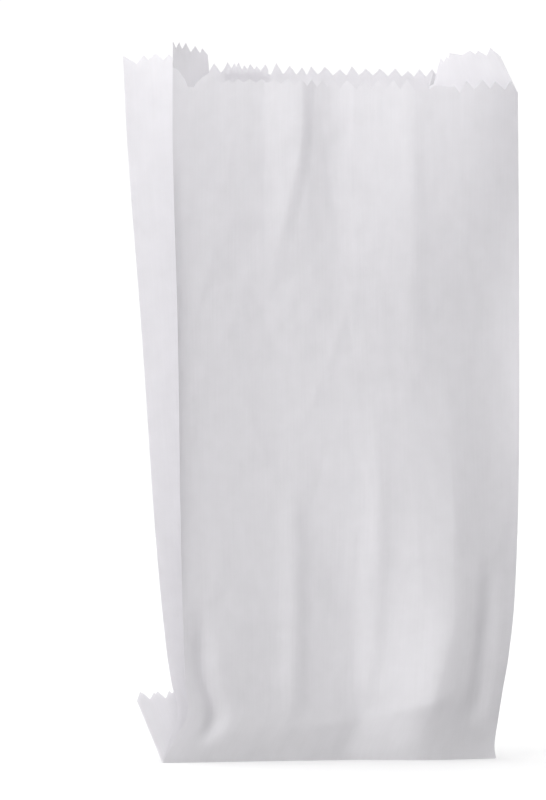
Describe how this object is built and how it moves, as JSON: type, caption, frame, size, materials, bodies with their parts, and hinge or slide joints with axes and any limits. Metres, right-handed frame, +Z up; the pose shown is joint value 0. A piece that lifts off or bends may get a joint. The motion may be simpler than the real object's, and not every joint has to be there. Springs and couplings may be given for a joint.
{
  "type": "paper bag",
  "caption": "Plain white paper bag with folded-in side gussets, a glued fold along its bottom and zigzag cut edges, standing open and empty.",
  "frame": {"origin": "middle of the outline, on the surface that the bag stands on", "axes": "+Z up to the open mouth, +X across the front from the left side as seen from the front, +Y from the front to the back"},
  "size_m": [0.1522, 0.0652, 0.2821],
  "materials": {
    "white_paper": "matt, thin, lets light through"
  },
  "bodies": {
    "root": {"paper_bag": "white_paper"}
  },
  "joints": []
}
